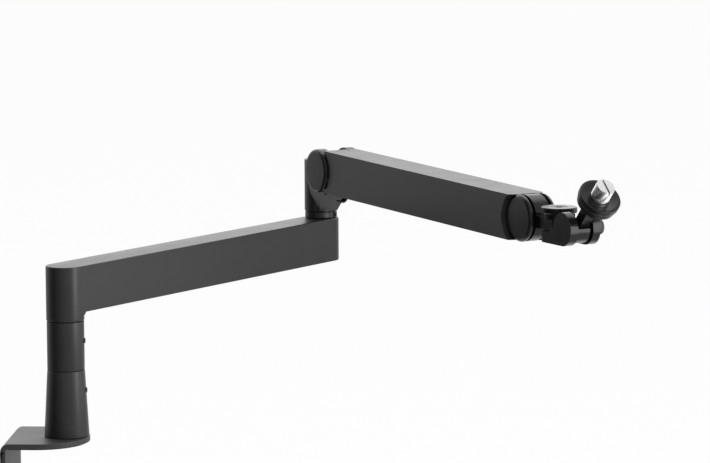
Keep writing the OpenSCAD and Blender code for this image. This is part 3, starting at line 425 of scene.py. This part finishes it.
def dress(node):
    """A carried-over solid: its finish, joined faces, and edges broken by a bevel."""
    thing = frame["nodes"][node]
    thing.data.materials.clear()
    thing.data.materials.append(FINISH_OF_NODE.get(node) or FINISH_OF_SLOT[SLOT_OF_NODE[node]])
    nodes = thing.modifiers.new("joined", "NODES")
    nodes.node_group = JOINED
    bevel = thing.modifiers.new("broken_edges", "BEVEL")
    bevel.limit_method = "ANGLE"
    bevel.angle_limit = SHARP_EDGE
    bevel.width = EDGE_OF_NODE.get(node, FINE_EDGE) * MM
    bevel.segments = 2
    bevel.harden_normals = True


for name in frame["nodes"]:
    dress(name)
print("dressed", len(frame["nodes"]), "solids")

# %% [markdown]
# ## Turned pieces
# Much of the arm is turned on a lathe or moulded round. Such a piece starts as a profile in radius and
# height. Its corners are rounded before it is turned, so no edge is knife sharp. A quadratic curve does
# that with no arc to solve: it starts and ends on the two sides of the corner and is pulled towards it.

# %% Round a profile's corners
CORNER_SHARE = 0.45  # a round takes no more than this share of either side


def rounded(corners, radius, steps=5):
    """A profile of (r, z) corners with each inner corner replaced by a quadratic curve that starts and
    ends radius away from it, or less where the next corner is near."""
    corners = np.asarray(corners, float)
    out = [corners[:1]]
    for before, corner, after in zip(corners[:-2], corners[1:-1], corners[2:]):
        a, b = before - corner, after - corner
        length_a, length_b = np.linalg.norm(a), np.linalg.norm(b)
        reach = min(radius, CORNER_SHARE * length_a, CORNER_SHARE * length_b)
        t = np.linspace(0, 1, steps + 1)[:, None]
        start, stop = corner + a / length_a * reach, corner + b / length_b * reach
        out.append((1 - t) ** 2 * start + 2 * t * (1 - t) * corner + t**2 * stop)
    return np.vstack([*out, corners[-1:]])


print("a corner becomes", len(rounded([(0, 0), (1, 0), (1, 1)], 0.5)) - 2, "points")

# %% [markdown]
# The piece itself is a stack of rings: each ring has a height on the local z axis and a radius for each
# angle. With the same radius all the way round it is a plain turned part. With a radius that swells and
# sinks with the angle it is a lobed knob, and with a radius that follows the height minus the angle it is
# a thread. All points and faces are worked out as whole arrays.

# %% Rings into a grid
NO_FANS = np.zeros((0, 3), int)


def rings(radii, heights, place, hollow=False):
    """A closed skin round local z. radii has a row for each ring and a column for each angle, heights
    is one height for each ring or a table like radii. A solid piece closes with a fan at each end, and a
    hollow one joins its last ring to its first."""
    count, sectors = radii.shape
    angle = np.arange(sectors) * 2 * np.pi / sectors
    heights = np.broadcast_to(np.reshape(heights, (count, -1)), radii.shape)
    points = np.stack([radii * np.cos(angle), radii * np.sin(angle), heights], -1).reshape(-1, 3)
    row = np.arange(count if hollow else count - 1)[:, None]
    column = np.arange(sectors)[None, :]
    beside = (column + 1) % sectors
    above = (row + 1) % count
    quads = np.stack([row * sectors + column, row * sectors + beside, above * sectors + beside,
                      above * sectors + column], -1).reshape(-1, 4)
    if hollow:
        return put(points, place), quads, NO_FANS
    ends = np.array([[0, 0, heights[0].mean()], [0, 0, heights[-1].mean()]])
    return put(np.vstack([points, ends]), place), quads, end_fans(count, sectors)


def end_fans(count, sectors):
    """The triangles that close a stack of rings: its two middle points follow the last ring."""
    low, around = count * sectors, np.arange(sectors)
    after, last = (around + 1) % sectors, (count - 1) * sectors
    return np.vstack([np.stack([np.full(sectors, low), after, around], -1),
                      np.stack([np.full(sectors, low + 1), last + around, last + after], -1)])


def turned(profile, place, sectors=144, hollow=False):
    """A plain turned part: every ring keeps one radius. The profile runs anticlockwise seen with r to the
    right and z up, so that its faces look outwards."""
    profile = np.asarray(profile, float)
    radii = np.repeat(profile[:, :1], sectors, axis=1)
    return rings(radii, profile[:, 1], place, hollow)


print("a disc of 8 sectors has", len(turned([(1, 0), (1, 1)], BASE, 8)[1]), "side faces")

# %% [markdown]
# One or more grids become one object. It rides on the body of the piece that it stands for and replaces
# that piece's node, so it moves with the joints and the bare solid isn't shown under it. Two helpers move
# or turn a local frame, for pieces that sit off the middle or face sideways.

# %% Grids into an object
SHARP_SKIN = np.radians(40)


def skin(name, grids, finish_used, body, nodes, caps=()):
    """One object from (points, quads, fans) grids in metres; it rides on body and replaces the nodes. caps
    are faces with more corners."""
    points, faces, start = [], list(caps), 0
    for vertices, quads, fans in grids:
        points.append(vertices)
        faces.extend((quads + start).tolist())
        faces.extend((fans + start).tolist())
        start += len(vertices)
    mesh = bpy.data.meshes.new(name)
    mesh.from_pydata(np.vstack(points).tolist(), [], faces)
    mesh.polygons.foreach_set("use_smooth", np.ones(len(mesh.polygons), bool))
    mesh.update()
    mesh.set_sharp_from_angle(angle=SHARP_SKIN)
    mesh.materials.append(finish_used)
    thing = bpy.data.objects.new(name, mesh)
    bpy.context.scene.collection.objects.link(thing)
    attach(thing, body)
    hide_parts(*nodes)
    print(name, "has", len(mesh.polygons), "faces")
    return thing


def sideways(place, sign):
    """The same origin with local z turned to face plus or minus y of the old frame."""
    origin, rows = place
    return origin, np.array([rows[0], -sign * rows[2], sign * rows[1]])


def shifted(place, at):
    """The same axes with the origin moved by local millimetres."""
    origin, rows = place
    return origin + (np.asarray(at, float) * MM) @ rows, rows


print("z of a frame turned sideways:", sideways(BASE, 1)[1][2])

# %% [markdown]
# ## Cutting
# Bores, slots and channels are cut out of the new skins with a boolean, just as the CAD model cuts them
# out of its solids. Each cutter is a closed mesh. They are taken out one after another, and each time the
# mesh that the modifier makes is kept and the cutter is removed. A cutter reaches past the surface that it
# opens, because two faces in one plane confuse a boolean.

# %% Saw and drill
SHARP_CUT = np.radians(30)


def block(low, high, place):
    """A box between two local corners, as a grid like those that rings makes."""
    corner = np.array([[x, y, z] for x in (0, 1) for y in (0, 1) for z in (0, 1)])
    sides = [(0, 1, 3, 2), (4, 6, 7, 5), (0, 4, 5, 1), (2, 3, 7, 6), (0, 2, 6, 4), (1, 5, 7, 3)]
    return put(np.asarray(low) + corner * (np.asarray(high) - low), place), np.array(sides), NO_FANS


def drill(at, radius, low, high, place):
    """An upright cylinder at a local x, as a cutter."""
    return turned([(radius, low), (radius, high)], shifted(place, (at, 0, 0)), 96)


def cut(thing, *cutters):
    """Take the cutters' volume out of the piece for good and return its number of faces."""
    for points, quads, fans in cutters:
        mesh = bpy.data.meshes.new("cutter")
        mesh.from_pydata(points.tolist(), [], quads.tolist() + fans.tolist())
        cutter = bpy.data.objects.new("cutter", mesh)
        bpy.context.scene.collection.objects.link(cutter)
        taken = thing.modifiers.new("cut", "BOOLEAN")
        taken.operation, taken.solver, taken.object = "DIFFERENCE", "EXACT", cutter
        done = thing.evaluated_get(bpy.context.evaluated_depsgraph_get())
        thing.data = bpy.data.meshes.new_from_object(done)
        thing.modifiers.clear()
        bpy.data.objects.remove(cutter)
    thing.data.set_sharp_from_angle(angle=SHARP_CUT)
    return len(thing.data.polygons)


print("a block has", len(block((0, 0, 0), (1, 1, 1), BASE)[1]), "faces")

# %% [markdown]
# ## The lower arm
# The lower arm is a long bar with round ends, and its hub grows out of the underside through a small
# hollow round. The skin is a stack of outlines. Each outline is a circle pulled apart into a slot shape
# by its stretch: no stretch in the hub, a few millimetres in the hollow round, the full length above it.

# %% Outline the lower arm
ARM_LEN, ARM_R, ARM_LOW, ARM_TOP, HUB_LOW = 373.0, 15.8, 109.3, 147.8, 102.4
HOLLOW, EDGE, HUB_EDGE, ARM_SECTORS = 3.6, 1.0, 0.5, 192
t = np.linspace(0, np.pi / 2, 7)
hub_edge = np.stack([ARM_R - HUB_EDGE + HUB_EDGE * np.sin(t), HUB_LOW + HUB_EDGE - HUB_EDGE * np.cos(t),
                     0 * t], -1)
hollow_round = np.stack([ARM_R + 0 * t, ARM_LOW - HOLLOW * np.cos(t),
                         HOLLOW * (1 - np.sin(np.pi / 2 - t))], -1)
low_edge = np.stack([ARM_R + 0 * t, ARM_LOW + EDGE * (1 - np.cos(t)), ARM_LEN - EDGE * (1 - np.sin(t))], -1)
top_edge = np.stack([ARM_R - EDGE + EDGE * np.cos(t), ARM_TOP - EDGE + EDGE * np.sin(t), ARM_LEN + 0 * t], -1)
outline = np.vstack([hub_edge, hollow_round, low_edge, top_edge])
print("lower arm:", len(outline), "outlines from", HUB_LOW, "to", ARM_TOP, "mm")

# %% [markdown]
# Half of each outline is moved along the arm by its stretch, which makes the round ends and the straight
# sides in one step. A long channel is cut into the bar from below. One end gets a blind bore for the
# riser's post, and the other a bore right through with a washer's recess under it.

# %% Mould the lower arm
CHANNEL_END, CHANNEL_HALF, ROOF = 24, 11.5, 5.5
BEARING_R, POST_ROOF, WASHER_R, WASHER_DEEP, PAST = 8.05, 11.5, 9.0, 8.6, 2
angle = (np.arange(ARM_SECTORS) + 0.5) * 2 * np.pi / ARM_SECTORS
radius, height, stretch = outline[:, :1], outline[:, 1:2], outline[:, 2:]
grid = np.stack([radius * np.cos(angle) + stretch * (np.cos(angle) > 0), radius * np.sin(angle),
                 np.broadcast_to(height, (len(outline), ARM_SECTORS))], -1)
_, quads, _ = rings(radius + 0 * angle, outline[:, 1], LOWER)
bottom_face = np.arange(ARM_SECTORS)[::-1]
top_face = np.arange(ARM_SECTORS) + (len(outline) - 1) * ARM_SECTORS
lower = skin("lower_arm_moulded", [(put(grid.reshape(-1, 3), LOWER), quads, NO_FANS)], POWDER,
             "lower_arm", ["lower_arm"], [bottom_face.tolist(), top_face.tolist()])
channel = block((CHANNEL_END, -CHANNEL_HALF, ARM_LOW - PAST),
                (ARM_LEN - CHANNEL_END, CHANNEL_HALF, ARM_TOP - ROOF), LOWER)
post_bore = drill(0, BEARING_R, HUB_LOW - PAST, ARM_TOP - POST_ROOF, LOWER)
elbow_bore = drill(ARM_LEN, BEARING_R, ARM_LOW - PAST, ARM_TOP + PAST, LOWER)
washer_recess = drill(ARM_LEN, WASHER_R, ARM_LOW - PAST - 1, ARM_LOW + WASHER_DEEP, LOWER)
print("lower arm:", cut(lower, channel, post_bore, elbow_bore, washer_recess), "faces when cut")

# %% [markdown]
# ## The riser
# The riser is a tapered foot and a straight tube. Between them runs a dark groove less than a millimetre
# wide, and the tube's seat ring stands at the bottom of it. Both rims are broken by a small round, which
# draws the hairline of light beside the groove. Profiles of solid pieces start and end near the axis, at
# CORE, and a fan closes them there.

# %% Turn the riser
PLATE_TOP, FOOT_TOP, RISER_TOP = 5.2, 61.1, 101.8
FOOT_R, RISER_R, SEAM, SEAM_DEPTH = 18.7, 15.5, 0.5, 1.4
SPIGOT_R, SPIGOT_LOW, POST_R, POST_LOW = 10.0, 33.1, 6.05, 67.7
CORE, STEP_OUT, SPIGOT_GAP, SPIGOT_END_GAP = 1, 0.1, 0.05, 0.1
seam_low, seam_high = FOOT_TOP - SEAM / 2, FOOT_TOP + SEAM / 2
rim_z, seat_r, socket_r = RISER_TOP - SEAM / 2, RISER_R - SEAM_DEPTH, SPIGOT_R + SPIGOT_GAP
foot_profile = [(CORE, PLATE_TOP), (FOOT_R, PLATE_TOP), (RISER_R + STEP_OUT, seam_low), (socket_r, seam_low),
                (socket_r, SPIGOT_LOW - SPIGOT_END_GAP), (CORE, SPIGOT_LOW - SPIGOT_END_GAP)]
tube_profile = [(CORE, SPIGOT_LOW), (SPIGOT_R, SPIGOT_LOW), (SPIGOT_R, seam_low), (seat_r, seam_low),
                (seat_r, seam_high), (RISER_R, seam_high), (RISER_R, rim_z), (POST_R, rim_z),
                (POST_R, POST_LOW), (CORE, POST_LOW)]
skin("riser_foot_turned", [turned(rounded(foot_profile, 0.8), BASE)], POWDER, "base",
     ["riser_foot"])
skin("riser_tube_turned", [turned(rounded(tube_profile, 0.25), BASE)], POWDER, "base",
     ["riser_tube"])
print("riser:", RISER_TOP, "mm high")

# %% [markdown]
# ## The caps
# The round caps at both pivots have a short rim, a rounded shoulder and a flat face, and all the light on
# them gathers on the shoulder. The shoulder is a quarter of an ellipse, which is softer than the plain
# round of a bevel. A shallow recess on the inside leaves room for the pin's end.

# %% Turn the caps
PIN_R, PIN_ROOM, SEAT_EDGE = 4.05, 1.1, 0.2


def cap_profile(radius, thick, shoulder, rim=0.7, steps=12):
    """Half a cap: a recess for the pin's end, out along the seat, up the rim, round the shoulder in an
    ellipse and in to the middle of the face."""
    t = np.linspace(0, np.pi / 2, steps)
    curve = np.stack([radius - shoulder + shoulder * np.cos(t), rim + (thick - rim) * np.sin(t)], -1)
    seat = [(CORE, PIN_ROOM), (PIN_R, PIN_ROOM), (PIN_R, 0.0), (radius - SEAT_EDGE, 0.0), (radius, SEAT_EDGE)]
    return np.vstack([seat, curve, [(CORE, thick)]])


def cap_pair(place, out_at, radius, thick, shoulder):
    """Both caps of a pivot, seated out_at each side of the middle and facing away from it."""
    profile = cap_profile(radius, thick, shoulder)
    return [turned(profile, sideways(shifted(place, (0, sign * out_at, 0)), sign)) for sign in (-1, 1)]


elbow_pair = cap_pair(PIVOT, out_at=16.75, radius=19.2, thick=3.2, shoulder=3.05)
front_pair = cap_pair(FRONT, out_at=9.6, radius=19.4, thick=3.7, shoulder=3.0)
skin("elbow_caps_turned", elbow_pair, PLASTIC, "elbow", ["elbow_caps"])
skin("front_caps_turned", front_pair, PLASTIC, "front_bracket", ["front_caps"])
print("caps:", len(elbow_pair) + len(front_pair))

# %% [markdown]
# ## The lock ring
# The lock ring is a flat nut with broken edges and a dished top. It sits on a thin washer on the yoke's
# flange, on the stem's axis. Its profile is closed round the bore, so its last ring joins its first.

# %% Turn the lock ring
FLANGE_TOP, WASHER_T, RING_GAP = 31.9, 1.5, 0.1
RING_R, RING_H, BORE_R, DISH_R = 17.6, 5.4, 7.95, 2.6
RING_LOW = FLANGE_TOP + WASHER_T + RING_GAP
ring_face = RING_H - RING_GAP
ring_profile = rounded([(BORE_R, 2.0), (BORE_R, 0), (RING_R, 0), (RING_R, ring_face),
                        (RING_R - DISH_R, ring_face), (BORE_R + 1.6, RING_H - 1.0),
                        (BORE_R, RING_H - 1.6), (BORE_R, 2.0)], 0.7)[:-1]
skin("lock_ring_turned", [turned(ring_profile, shifted(STEM, (0, 0, RING_LOW)), hollow=True)], HEAD_COAT,
     "lock_ring", ["lock_ring"])
print("lock ring:", 2 * RING_R, "mm across")

# %% [markdown]
# ## The tilt knob
# The tilt knob is a small round grip with thirty fine ridges. The ridges are a cosine of thirty turns with
# its crests cut off, added to the radius only where the profile is at its full width.

# %% Turn the tilt knob
KNOB_FROM, KNOB_LEN, KNOB_R, BOLT_R = 14.25, 8.2, 6.2, 3.55
RIDGES, RIDGE_H, RIDGE_FROM_R, RIDGE_FADE = 30, 0.25, 5.2, 0.6
bore_end, knob_dish = KNOB_LEN / 2 + 0.05, KNOB_LEN - 1.4
knob_profile = rounded([(CORE, bore_end), (BOLT_R, bore_end), (BOLT_R, 0), (KNOB_R, 0), (KNOB_R, KNOB_LEN),
                        (3.4, KNOB_LEN), (3.0, knob_dish), (0.6, knob_dish)], 0.6)
angle = np.arange(240) * 2 * np.pi / 240
full_width = np.clip((knob_profile[:, 0] - RIDGE_FROM_R) / RIDGE_FADE, 0, 1)[:, None]
ridge = full_width * np.clip(np.cos(RIDGES * angle), -0.4, 0.4)[None, :] * RIDGE_H
knob_radii = knob_profile[:, :1] + ridge - 0.1 * (ridge != 0)
knob_place = sideways(shifted(TILT, (0, KNOB_FROM, 0)), 1)
skin("tilt_knob_turned", [rings(knob_radii, knob_profile[:, 1], knob_place)], PLASTIC,
     "tilt_knob", ["tilt_knob"])
print("tilt knob:", round(2 * float(knob_radii.max()), 2), "mm across")

# %% [markdown]
# ## Threads
# A screw thread is one formula: the radius at a point falls and rises once each pitch of height, and the
# wave is shifted by a full pitch each turn. The clamp screw has a coarse metric thread, and the microphone
# stud has the 27 threads an inch that microphone sockets use. Both fade out over one pitch at their ends.

# %% Cut the clamp screw
def threaded(radius, pitch, depth, low, high, place, sectors=96, steps=8, ease=0.5):
    """A threaded rod from low to high: the radius is the crest less depth times a flattened wave of
    height over pitch minus angle over a turn, and the wave dies away within a pitch of each end."""
    rows = int((high - low) / pitch * steps) + 1
    height = np.linspace(low, high, rows)
    turn_share = np.arange(sectors) / sectors
    wave = 0.5 + np.clip(0.8 * np.cos(2 * np.pi * (height[:, None] / pitch - turn_share[None, :])), -0.5, 0.5)
    fade = np.clip(np.minimum(height - low, high - height) / pitch, 0, 1)
    radii = radius - depth * (wave * fade[:, None] + (1 - fade[:, None]) * 0.5)
    low_end = np.full((2, sectors), radius - depth) * np.array([[0.3], [1.0]])
    high_end = low_end[::-1]
    heights = np.concatenate([[low - ease, low - ease], height, [high + ease, high + ease]])
    return rings(np.vstack([low_end, radii, high_end]), heights, place)


PAD_LOW, HUB_H, SPINDLE_LEN, IN_HUB = -35.0, 6.0, 84.0, 5
SPINDLE_R, METRIC_PITCH, TIP_R = 4.9, 1.5, 3.5
hub_bottom = PAD_LOW - HUB_H
spindle_low = hub_bottom - SPINDLE_LEN + IN_HUB
tip_low, tip_high = hub_bottom - 0.4, hub_bottom + 4.8
tip_profile = rounded([(0.5, tip_low), (TIP_R, tip_low), (TIP_R, tip_high), (0.5, tip_high)], 0.5)
screw_thread = threaded(SPINDLE_R, METRIC_PITCH, depth=0.8, low=spindle_low + 0.6, high=hub_bottom - 0.8,
                        place=SCREW)
skin("clamp_spindle_cut", [screw_thread, turned(tip_profile, SCREW, 64)], ZINC, "clamp_screw",
     ["clamp_spindle"])
print("clamp screw:", round(hub_bottom - spindle_low, 1), "mm of rod below the pad")

# %% [markdown]
# The stud stands in the yoke's flange. Below the thread it has a plain foot with a shallow groove under
# the thread's first turn, and a slot for a screwdriver is sawn across its top. The foot and the thread are
# two grids in one object, and the slot is cut last.

# %% Cut the stud
STUD_SUNK, THREAD_LEN, THREAD_R, GROOVE_R, GROOVE_W = 5.9, 11.0, 7.9, 7.3, 0.9
SLOT_HALF, SLOT_DEEP, SLOT_REACH = 0.8, 3.0, 9
STUD_LOW = FLANGE_TOP - STUD_SUNK
GROOVE = FLANGE_TOP + WASHER_T + RING_H + 0.2
STUD_TOP = GROOVE + 1.0 + THREAD_LEN
foot_corners = [(CORE, STUD_LOW), (THREAD_R, STUD_LOW), (THREAD_R, GROOVE), (GROOVE_R, GROOVE),
                (GROOVE_R, GROOVE + GROOVE_W), (CORE, GROOVE + GROOVE_W)]
stud_foot = turned(rounded(foot_corners, 0.2, 2), STEM, 96)
stud_thread = threaded(THREAD_R, 25.4 / 27, depth=0.55, low=GROOVE + 1.3, high=GROOVE + 0.6 + THREAD_LEN,
                       place=STEM, ease=0.4)
stud = skin("mic_stud_cut", [stud_thread, stud_foot], ZINC, "mic_yoke", ["mic_stud"])
slot = block((-SLOT_REACH, -SLOT_HALF, STUD_TOP - SLOT_DEEP), (SLOT_REACH, SLOT_HALF, STUD_TOP + 1), STEM)
print("stud slotted:", cut(stud, slot), "faces")

# %% [markdown]
# ## The clamp knob
# The knob is a moulded star grip with six soft lobes. Its radius is a circle plus a wave with six crests,
# and the wave fades towards the middle of the top and bottom, so the faces stay flat.

# %% Mould the clamp knob
LOBES, LOBE_H, GRIP_R, KNOB_H, FLAT_R = 6, 1.1, 14.9, 13.0, 7.0
grip = rounded([(1.0, 1.2), (5.5, 1.2), (6.2, 0), (GRIP_R, 0), (GRIP_R, KNOB_H), (8.0, KNOB_H),
                (FLAT_R, KNOB_H - 1.4), (4.95, KNOB_H - 1.4), (4.95, 3.0), (1.0, 3.0)], 1.6, 7)
lobe_wave = np.cos(LOBES * np.arange(240) * 2 * np.pi / 240)
swell = np.clip((grip[:, :1] - FLAT_R) / (GRIP_R - FLAT_R), 0, 1) ** 1.5
grip_radii = grip[:, :1] + LOBE_H * swell * lobe_wave[None, :]
skin("clamp_knob_moulded", [rings(grip_radii, grip[:, 1], shifted(SCREW, (0, 0, spindle_low - 3)))], PLASTIC,
     "clamp_screw", ["clamp_knob"])
print("clamp knob:", round(2 * float(grip_radii.max()), 1), "mm across its lobes")

# %% [markdown]
# ## The balance spring
# Inside the elbow sits a torsion spring of stout wire. One turn lies round the sleeve, and one straight leg
# runs forward under the frame's web. The path is a circle that moves sideways by one wire in its turn and
# leaves it along the tangent, and a round wire is swept along it.

# %% Wind the spring
def swept(path, radius, reference, sides=20):
    """A tube round a path. Each ring stands square to the path, spanned by the reference direction and
    the cross product of the path's direction with it."""
    along = np.gradient(path, axis=0)
    along /= np.linalg.norm(along, axis=1)[:, None]
    first = np.cross(along, reference)
    first /= np.linalg.norm(first, axis=1)[:, None]
    second = np.cross(along, first)
    angle = np.arange(sides) * 2 * np.pi / sides
    ring = np.cos(angle)[None, :, None] * first[:, None] + np.sin(angle)[None, :, None] * second[:, None]
    points = (path[:, None] + radius * ring).reshape(-1, 3)
    row, column = np.arange(len(path) - 1)[:, None], np.arange(sides)[None, :]
    beside = (column + 1) % sides
    quads = np.stack([row * sides + column, row * sides + beside, (row + 1) * sides + beside,
                      (row + 1) * sides + column], -1).reshape(-1, 4)
    return np.vstack([points, path[:1], path[-1:]]), quads, end_fans(len(path), sides)


WIRE_R, COIL_IN, SPRING_NEAR, SPRING_W, LEG, WIRE_GAP = 1.75, 6.5, -6.7, 7.0, 34.0, 0.02
coil_r = COIL_IN + WIRE_R
around = np.linspace(-2 * np.pi, 0, 120)
sideways_by = SPRING_NEAR + SPRING_W - WIRE_R - (around / (2 * np.pi) + 1) * 2 * WIRE_R
coil = np.stack([coil_r * np.sin(around), sideways_by, coil_r * np.cos(around)], -1)
leg_x = np.linspace(1.0, LEG, 12)
leg = np.stack([leg_x, np.full(12, coil[-1, 1]), np.full(12, coil_r)], -1)
points, quads, fans = swept(np.vstack([coil, leg]), WIRE_R - WIRE_GAP, np.array([0.0, 1.0, 0.0]))
skin("balance_spring_wound", [(put(points, UPPER), quads, fans)], SPRING, "upper_arm",
     ["balance_spring"])
print("spring: coil of radius", coil_r, "mm and a leg of", LEG, "mm")
